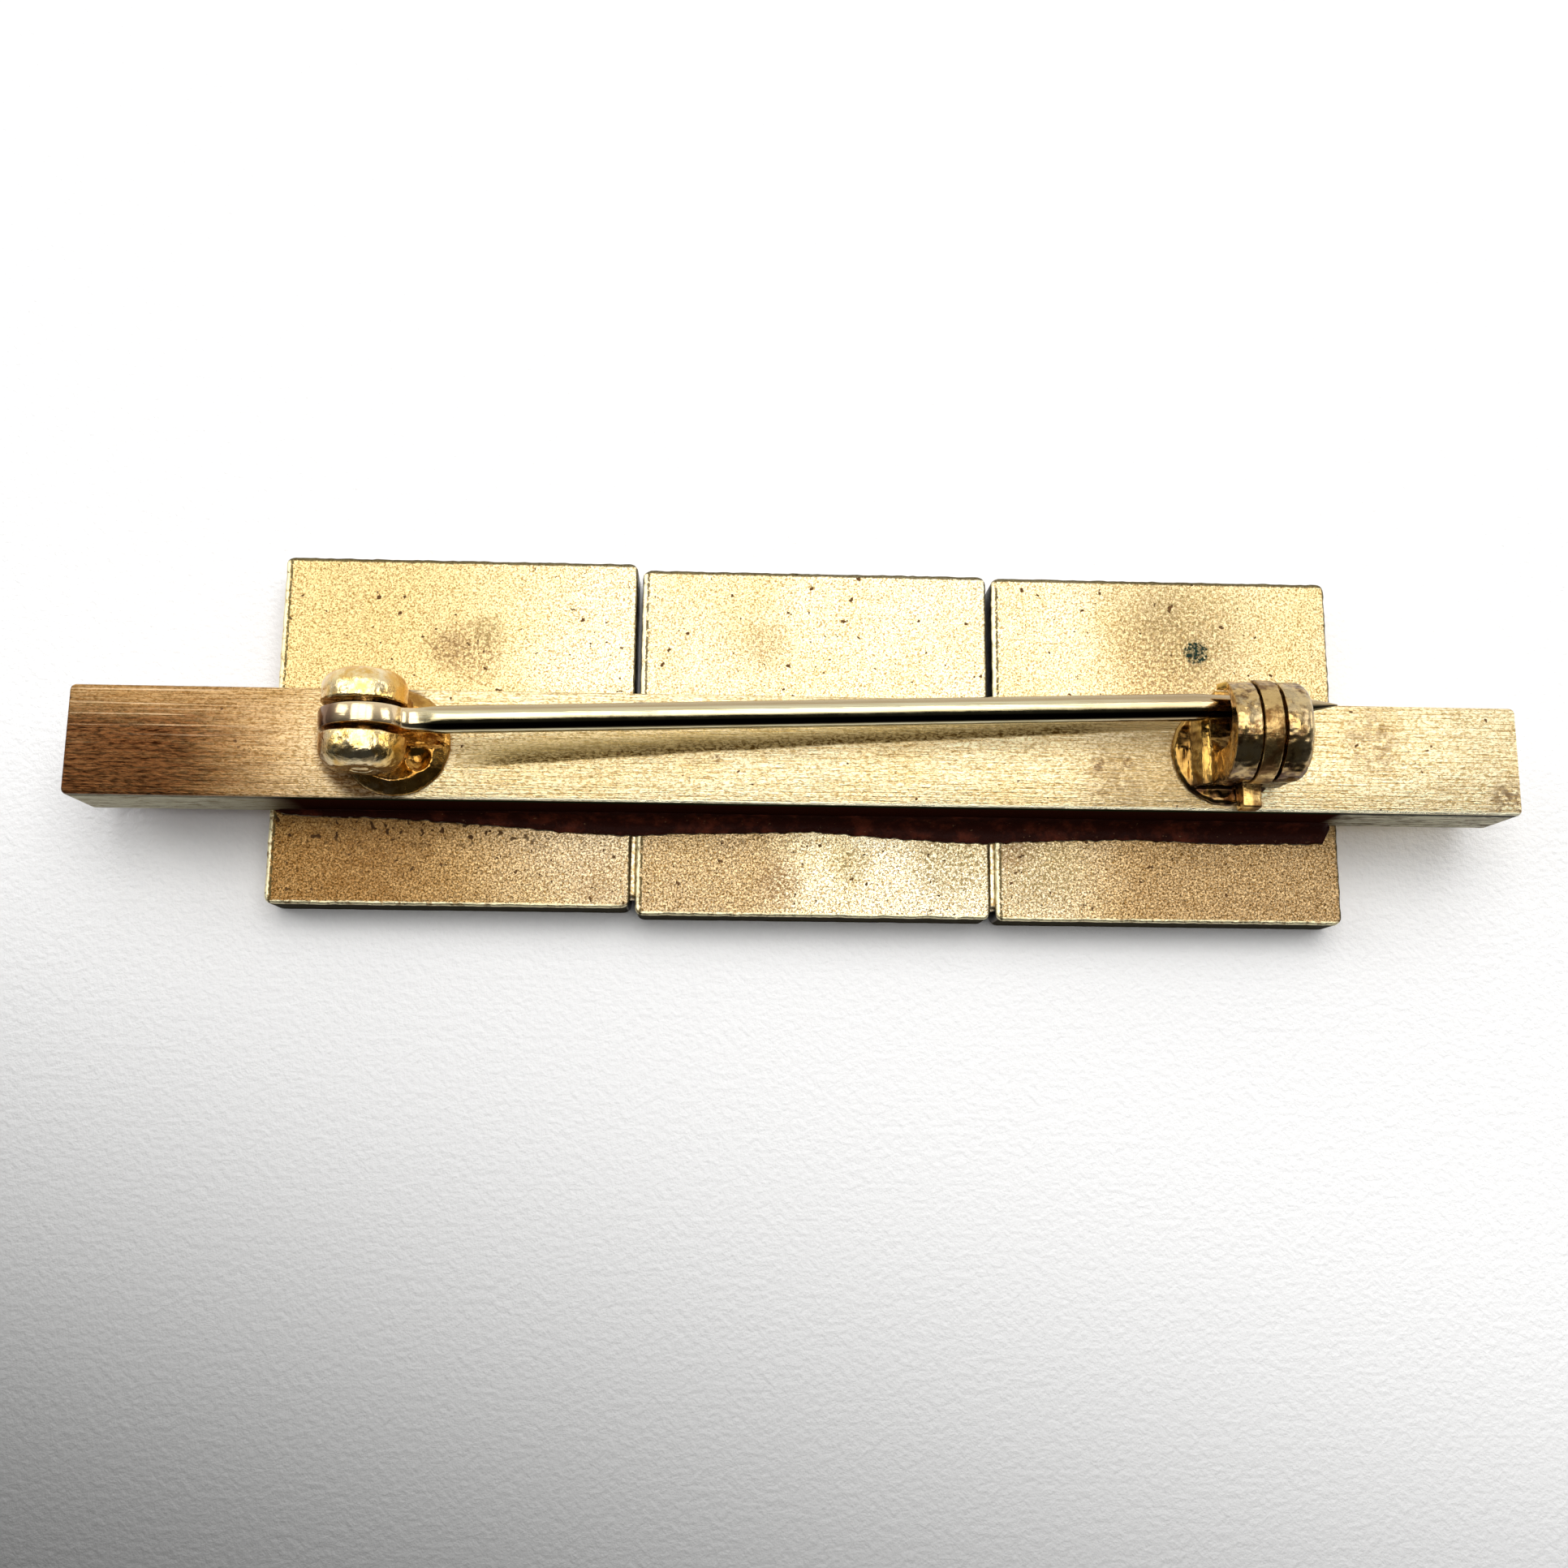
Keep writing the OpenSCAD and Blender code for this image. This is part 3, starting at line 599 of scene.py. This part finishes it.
flux = Finish("burnt_flux", 0, 0.55, (0.03, 0.009, 0.005))
flux.gloss(0.08)
flux_cloud = flux.noise(1.1, 4, 0.65)
flux_grain = flux.noise(6, 3, 0.6)
flux_tint = flux.blend(flux.between(flux_cloud, 0.45, 0.72), (0.035, 0.007, 0.004), (0.13, 0.026, 0.012))
flux.colour(flux.blend(flux.between(flux_grain, 0.66, 0.74), flux_tint, (0.22, 0.12, 0.06)))
flux.relief((flux_cloud, 0.08), (flux_grain, 0.03))
plate_back = bar_low.z
rings = []
for k in range(SEAM_STEPS + 1):
    x = SEAM_LEFT + (SEAM_RIGHT - SEAM_LEFT) * k / SEAM_STEPS
    ragged = noise.noise(Vector((x * 2.3, 3, 1))) * 0.07 + noise.noise(Vector((x * 7, 8, 1))) * 0.03
    end = min(1, (k + 1) / 4, (SEAM_STEPS + 1 - k) / 4)
    reach = max(0.08, seam_reach(x) + ragged) * end
    rise = (0.35 + 0.55 * reach) * (1 + 0.25 * noise.noise(Vector((x * 1.1, 5, 5)))) * end
    lump = noise.noise(Vector((x * 2.9, 1, 9))) * 0.03
    section = (  # how far out of the bar's side, and how high above the plates
        (-0.12, 0.005), (reach, 0.005), (reach * 1.01, 0.03), (reach * 0.93, 0.07),
        (reach * 0.7, 0.10 + lump), (reach * 0.4, 0.16 + lump), (reach * 0.15, 0.45 * rise + 0.05),
        (0.02, rise), (-0.12, rise))
    rings.append([(x, side_y - out, plate_back + height) for out, height in section])
skin("solder_seam", rings, flux, "brooch", 70)

# The edge of the seam is clean metal: a thin bright line along the plates.
BEAD_SECTION = ((0.03, 0), (-0.035, 0), (-0.02, 0.03), (0.02, 0.04))
bead_gilt = Finish("bead_gilt", 1, 0.3, (0.9, 0.78, 0.5))
bead_share = bead_gilt.between(bead_gilt.noise(2.5, 3, 0.7), 0.42, 0.58)
bead_gilt.colour(bead_gilt.blend(bead_share, (0.30, 0.18, 0.07), (0.95, 0.84, 0.56)))
bead = [[(ring[1][0], ring[1][1] + dy, plate_back + dz) for dy, dz in BEAD_SECTION] for ring in rings]
skin("solder_bead", bead, bead_gilt, "brooch", 70)


# Barrel hinge
# One brass casting: a round solder pad, a neck and two rounded ears with a slot between them,
# polished and gilt. Low down, round the pad and in the slot, it is painted brown: solder and dirt, with
# painted shade under the ears.
def cast(name, node, voxel, wobble, finish, body, passes=4):
    """The CAD solid as a casting: edges softened to the size of a voxel and faces a little uneven."""
    rough = bpy.data.meshes.new(name)
    shape = bmesh.new()
    shape.from_mesh(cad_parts[node].data)
    bmesh.ops.remove_doubles(shape, verts=shape.verts, dist=2e-7)
    shape.to_mesh(rough)
    shape.free()
    blank = bpy.data.objects.new(name + "_blank", rough)
    bpy.context.collection.objects.link(blank)
    remesh = blank.modifiers.new("cast", "REMESH")
    remesh.mode = "VOXEL"
    remesh.voxel_size = voxel * MM
    soften = blank.modifiers.new("polish", "SMOOTH")
    soften.factor = 0.5
    soften.iterations = passes
    bpy.context.view_layer.update()
    ready = blank.evaluated_get(bpy.context.evaluated_depsgraph_get())
    mesh = bpy.data.meshes.new_from_object(ready)
    bpy.data.objects.remove(blank)
    mesh.name = name
    outward = [vertex.normal.copy() for vertex in mesh.vertices]
    places = [vertex.co / MM for vertex in mesh.vertices]
    moved = []
    for spot, out in zip(places, outward):
        uneven = noise.noise(spot * 1.6) + 0.5 * noise.noise(spot * 4.1 + Vector((7, 3, 1)))
        moved.extend((spot + out * wobble * uneven) * MM)
    mesh.vertices.foreach_set("co", moved)
    mesh.update()
    piece = settle(name, mesh, finish, body, 70)
    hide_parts(node)
    return piece


HINGE_PALE, HINGE_AMBER, HINGE_WORN = (0.92, 0.74, 0.38), (0.74, 0.45, 0.12), (0.86, 0.76, 0.54)
EAR_AMBER, EAR_BROWN, PAD_DIRT_AND_SHADE = (0.66, 0.36, 0.06), (0.40, 0.22, 0.09), (0.34, 0.16, 0.03)
pad_foot = corners("hinge")[0].z
hinge_gold = Finish("hinge_gold", 1, 0.16, (0.83, 0.58, 0.22))
hinge_x, hinge_y, hinge_z = hinge_gold.along(0), hinge_gold.along(1), hinge_gold.along(2)
grime = hinge_gold.noise(2.2, 4, 0.65)
hinge_tint = hinge_gold.blend(hinge_gold.between(grime, 0.35, 0.65), HINGE_PALE, HINGE_AMBER)
worn = hinge_gold.between(hinge_gold.noise(0.9, 3, 0.6, shift=(4, 4, 4)), 0.48, 0.62)
hinge_tint = hinge_gold.blend(hinge_gold.times(worn, 0.5), hinge_tint, HINGE_WORN)
right_end = hinge_gold.between(hinge_x, -16.7, -16.1, 0, 0.8)
hinge_tint = hinge_gold.blend(right_end, hinge_tint, EAR_AMBER)
left_end = hinge_gold.times(hinge_gold.fade(hinge_x, -18.9, -18.2),
                            hinge_gold.between(hinge_y, -1.2, -1.0, 1, 0.3))
hinge_tint = hinge_gold.blend(hinge_gold.times(left_end, 0.7), hinge_tint, EAR_BROWN)
# Painted shade and dirt: the pad and the low part of the casting are painted brown.
pad_level = hinge_gold.fade(hinge_z, pad_foot + 0.5, pad_foot + 1.5)
pad_dirt_and_shade = hinge_gold.between(hinge_gold.noise(1.6, 4, 0.7, shift=(2, 0, 5)), 0.35, 0.6, 0.45, 1)
hinge_gold.colour(hinge_gold.blend(hinge_gold.times(pad_level, pad_dirt_and_shade), hinge_tint, PAD_DIRT_AND_SHADE))
hinge_gold.roughness(hinge_gold.between(hinge_gold.noise(3, 3, 0.6), 0.35, 0.7, 0.10, 0.28))
hinge_gold.relief((hinge_gold.noise(3.5, 3, 0.6), 0.03), (hinge_gold.noise((2, 2, 14), 2), 0.006))
cast("hinge_cast", "hinge", 0.05, 0.03, hinge_gold, "brooch")


# Hinge rivet
# A short brass wire through both ears and the eye, cut flush and peened over at each end. It carries
# the stem's eye and turns with it when the stem is lifted.
RIVET_END = ((0, 0.5), (0.02, 0.85), (0.07, 1))  # distance from an end, and share of the full radius
rivet_low, rivet_high = corners("hinge_rivet")
rivet_middle = (rivet_low + rivet_high) / 2
rivet_r = (rivet_high.z - rivet_low.z) / 2
rivet_gold = Finish("rivet_gold", 1, 0.25, (0.78, 0.58, 0.30))
rivet_gold.relief((rivet_gold.noise(5, 3), 0.02))
rings = []
for y, share in ([(rivet_low.y + step, share) for step, share in RIVET_END]
                 + [(rivet_high.y - step, share) for step, share in reversed(RIVET_END)]):
    rings.append([(rivet_middle.x + rivet_r * share * math.cos(math.radians(a)), y,
                   rivet_middle.z + rivet_r * share * math.sin(math.radians(a))) for a in range(0, 360, 12)])
rivet = skin("hinge_rivet_wire", rings, rivet_gold, "rivet")
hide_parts("hinge_rivet")


# Pin stem
# Drawn wire, 1.1 mm thick, hammered flat into an eye at the hinge and filed to a long point. It is
# bright, paler than the rest, and darker towards the catch where fingers don't rub it.
STEM_YAW = math.radians(1.95)
EYE_HALF, EYE_R, EYE_BORE = 0.45, 1.75, 0.47
BLADE_HALF, NECK_HALF, WIRE_R, TAPER_R = 1.02, 0.46, 0.56, 0.29
# Where each part of the wire begins, measured from the rivet, and where the wire ends.
BLADE, NECK, SHANK, TAPER, POINT, TIP = 1.05, 1.95, 3.2, 33.2, 37.7, 39.1
STEM_PALE, STEM_GREY, CATCH_TARNISH = (0.74, 0.67, 0.44), (0.62, 0.52, 0.29), (0.40, 0.24, 0.12)
UPPER_REFLECTED_BROWN, LOWER_REFLECTED_OLIVE, LOWER_REFLECTED_BLACK = (0.42, 0.31, 0.17), (0.17, 0.14, 0.07), (0.012, 0.006, 0.002)
EYE_GOLD, EYE_BROWN = (0.78, 0.58, 0.34), (0.16, 0.075, 0.045)
to_stem = Matrix.Translation(rivet_middle) @ Matrix.Rotation(STEM_YAW, 4, "Z")

stem_wire = Finish("stem_wire", 1, 0.12, (0.80, 0.74, 0.56))
along_stem, across_stem = stem_wire.along(0), stem_wire.along(1)
draw = stem_wire.noise((0.12, 14, 14), 3, 0.6)
stem_tint = stem_wire.blend(stem_wire.between(draw, 0.35, 0.65), STEM_PALE, STEM_GREY)
uneven_along = stem_wire.plus(along_stem, stem_wire.times(stem_wire.noise(0.8, 3), 4))
toward_catch = stem_wire.between(uneven_along, 11, 17)
stem_tint = stem_wire.blend(stem_wire.times(toward_catch, 0.55), stem_tint, CATCH_TARNISH)
axis_y = stem_wire.plus(stem_wire.times(along_stem, math.tan(STEM_YAW)),
                        rivet_middle.y - rivet_middle.x * math.tan(STEM_YAW))
off_axis = stem_wire.minus(across_stem, axis_y)
# Painted reflections: the top flank of the wire is painted brown and its underside dark olive to black.
past_eye = stem_wire.between(along_stem, -15.6, -14.6)
upper = stem_wire.times(stem_wire.between(off_axis, 0.20, 0.30, 0, 0.8), past_eye)
stem_tint = stem_wire.blend(upper, stem_tint, UPPER_REFLECTED_BROWN)
shaded = stem_wire.times(stem_wire.band(off_axis, (-0.52, -0.45), (-0.14, -0.02)), past_eye)
stem_tint = stem_wire.blend(stem_wire.times(shaded, 0.9), stem_tint, LOWER_REFLECTED_OLIVE)
lowest_reflection = stem_wire.times(stem_wire.fade(off_axis, -0.30, -0.22), shaded)
stem_tint = stem_wire.blend(lowest_reflection, stem_tint, LOWER_REFLECTED_BLACK)
stem_tint = stem_wire.blend(stem_wire.between(along_stem, -15.9, -14.9, 0.8, 0), stem_tint, EYE_GOLD)
stem_tint = stem_wire.blend(stem_wire.between(along_stem, -18.5, -17.9, 0.88, 0), stem_tint, EYE_BROWN)
stem_wire.colour(stem_tint)
stem_wire.roughness(stem_wire.between(stem_wire.noise(2, 3), 0.3, 0.7, 0.08, 0.18))
stem_wire.relief((draw, 0.004), (stem_wire.noise(1.2, 2), 0.012))


def squircle(half_y, half_z, power, count=40):
    """Points round a flattened circle."""
    ring = []
    for k in range(count):
        a = 2 * math.pi * k / count
        c, s = math.cos(a), math.sin(a)
        ring.append((half_y * math.copysign(abs(c) ** (2 / power), c),
                     half_z * math.copysign(abs(s) ** (2 / power), s)))
    return ring


def wire_size(s):
    """Half width, half height and squareness of the stem at a distance from the rivet."""
    if s < NECK:
        share = max(0, (s - BLADE) / (NECK - BLADE))
        return EYE_HALF, BLADE_HALF + (NECK_HALF - BLADE_HALF) * share, 5 - 1.5 * share
    if s < SHANK:
        share = (s - NECK) / (SHANK - NECK)
        share = share * share * (3 - 2 * share)
        return (EYE_HALF + (WIRE_R - EYE_HALF) * share, NECK_HALF + (WIRE_R - NECK_HALF) * share,
                3.5 - 1.5 * share)
    if s < TAPER:
        return WIRE_R, WIRE_R, 2
    if s < POINT:
        r = WIRE_R - (WIRE_R - TAPER_R) * (s - TAPER) / (POINT - TAPER)
    else:
        r = TAPER_R - 0.26 * ((s - POINT) / (TIP - POINT)) ** 1.25
    return r, r, 2


stations = [0.85, BLADE, 1.2, 1.4, 1.6, 1.8, NECK, 2.1, 2.3, 2.5, 2.7, 2.9, SHANK]
for start, end, steps in ((SHANK, TAPER, 60), (TAPER, POINT, 12), (POINT, TIP, 10)):
    stations += [start + (end - start) * k / steps for k in range(1, steps + 1)]
rings = []
for s in stations:
    half_y, half_z, power = wire_size(s)
    rings.append([tuple(to_stem @ Vector((s, y, z))) for y, z in squircle(half_y, half_z, power)])
shank = skin("pin_stem_wire", rings, stem_wire, "stem", 50)

# The eye is a flat ring with rounded edges, forged in one with the wire.
EYE_SECTION = (  # distance from the rivet's axis, and place across the eye
    (EYE_BORE + 0.05, -0.45), (EYE_R - 0.16, -0.45), (EYE_R - 0.04, -0.38), (EYE_R, -0.24), (EYE_R, 0.24),
    (EYE_R - 0.04, 0.38), (EYE_R - 0.16, 0.45), (EYE_BORE + 0.05, 0.45), (EYE_BORE, 0.40), (EYE_BORE, -0.40))
EYE_TURNS = 72
points, faces = [], []
n = len(EYE_SECTION)
for k in range(EYE_TURNS):
    a = 2 * math.pi * k / EYE_TURNS
    here, after = k * n, (k + 1) % EYE_TURNS * n
    points += [(to_stem @ Vector((r * math.cos(a), y, r * math.sin(a)))) * MM for r, y in EYE_SECTION]
    faces += [(here + i, here + (i + 1) % n, after + (i + 1) % n, after + i) for i in range(n)]
eye_mesh = bpy.data.meshes.new("eye")
eye_mesh.from_pydata(points, [], faces)
face_outward(eye_mesh)
eye = bpy.data.objects.new("eye", eye_mesh)
bpy.context.collection.objects.link(eye)
join = shank.modifiers.new("eye", "BOOLEAN")
join.operation = "UNION"
join.solver = "EXACT"
join.object = eye
bpy.context.view_layer.update()
whole = bpy.data.meshes.new_from_object(shank.evaluated_get(bpy.context.evaluated_depsgraph_get()))
shank.modifiers.clear()
shank.data = whole
whole.shade_smooth()
whole.set_sharp_from_angle(angle=math.radians(42))
bpy.data.objects.remove(eye)
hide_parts("pin_stem")


# Catch housing
# A stamped brass catch on a round solder pad: a ribbed ledge, a foot and two C-shaped hooks. The
# gilding is rubbed to a pale gold on the hooks and has stayed amber inside and on the ledge.
RING_X, RING_Y, RING_Z = 18.2, -0.682, 7.75  # the axis on which the hooks and the roller are round
CATCH_GILT, CATCH_BLACKENED, CATCH_RUBBED = (0.56, 0.37, 0.14), (0.13, 0.06, 0.018), (0.68, 0.54, 0.30)
AMBER_LIGHT, AMBER_DEEP, HOLLOW_DARK = (0.72, 0.43, 0.10), (0.36, 0.19, 0.04), (0.12, 0.055, 0.012)
FOOT_BROWN, FRONT_REFLECTED_RED = (0.18, 0.10, 0.035), (0.06, 0.025, 0.016)
catch_gold = Finish("catch_gold", 1, 0.2, (0.75, 0.56, 0.28))
catch_x, catch_y, catch_z = catch_gold.along(0), catch_gold.along(1), catch_gold.along(2)
catch_cloud = catch_gold.noise(2.3, 4, 0.65)
catch_lines = catch_gold.noise((8, 1.2, 1.2), 3, 0.6)
catch_tint = catch_gold.blend(catch_gold.between(catch_cloud, 0.42, 0.58), CATCH_GILT, CATCH_BLACKENED)
rubbed = catch_gold.between(catch_gold.noise(1.3, 4, 0.7, shift=(6, 1, 3)), 0.40, 0.60, 0.05, 0.62)
rubbed = catch_gold.times(catch_gold.between(catch_z, RING_Z - 0.2, RING_Z + 1.6), rubbed)
catch_tint = catch_gold.blend(rubbed, catch_tint, CATCH_RUBBED)
inside = catch_gold.spot((RING_X, RING_Y + 0.45, RING_Z - 0.3), 1.75, 0.12, (0.02, 1, 1))
ledge = catch_gold.fade(catch_x, 16.70, 16.80)
amber_cloud = catch_gold.noise(0.9, 3, 0.5, shift=(1, 2, 3))
amber = catch_gold.blend(catch_gold.between(amber_cloud, 0.42, 0.62), AMBER_LIGHT, AMBER_DEEP)
amber = catch_gold.blend(catch_gold.between(catch_x, 17.0, 17.5), amber, HOLLOW_DARK)
catch_tint = catch_gold.blend(catch_gold.larger(ledge, catch_gold.times(inside, 0.8)), catch_tint, amber)
foot = catch_gold.fade(catch_z, 5.45, 6.8)
catch_tint = catch_gold.blend(catch_gold.times(foot, 0.6), catch_tint, FOOT_BROWN)
# Painted reflection: the front of the hooks, facing the viewer, is painted dark red in patches.
front_reflection = catch_gold.fade(catch_y, RING_Y - 1.95, RING_Y - 1.2)
red_share = catch_gold.between(catch_gold.noise(1.0, 3, 0.6, shift=(8, 8, 1)), 0.42, 0.56, 0.25, 0.9)
catch_gold.colour(catch_gold.blend(catch_gold.times(front_reflection, red_share), catch_tint, FRONT_REFLECTED_RED))
catch_gold.roughness(catch_gold.between(catch_cloud, 0.3, 0.7, 0.10, 0.30))
catch_gold.relief((catch_gold.noise(1.3, 2, 0.5), 0.05), (catch_gold.noise((1.2, 7, 7), 3, 0.6), 0.007),
                  (catch_lines, 0.010))
cast("catch_stamped", "catch_housing", 0.045, 0.04, catch_gold, "brooch")


# Catch roller
# A turned ring with a mouth and a lever tab, which rolls between the hooks to shut the catch.
# Handling has dulled it to a tan satin with fine scratches across it.
ROLLER_TAN, ROLLER_BROWN, TAB_GOLD = (0.56, 0.38, 0.15), (0.18, 0.09, 0.028), (0.86, 0.55, 0.18)
roller_gold = Finish("roller_gold", 1, 0.3, (0.68, 0.54, 0.32))
roller_lines = roller_gold.noise((10, 1, 1), 3, 0.6)
roller_cloud = roller_gold.noise(1.5, 4, 0.6)
roller_tint = roller_gold.blend(roller_gold.between(roller_cloud, 0.38, 0.62), ROLLER_TAN, ROLLER_BROWN)
tab = roller_gold.times(roller_gold.fade(roller_gold.along(1), RING_Y - 2.2, RING_Y - 1.9),
                        roller_gold.fade(roller_gold.along(0), 18.1, 18.3))
roller_gold.colour(roller_gold.blend(tab, roller_tint, TAB_GOLD))
roller_gold.roughness(roller_gold.between(roller_cloud, 0.3, 0.7, 0.22, 0.4))
roller_gold.relief((roller_gold.noise(1.8, 3, 0.6), 0.05), (roller_gold.noise((1.2, 8, 8), 3, 0.6), 0.009),
                   (roller_lines, 0.010))
cast("roller_turned", "catch_roller", 0.04, 0.015, roller_gold, "roller", 3)
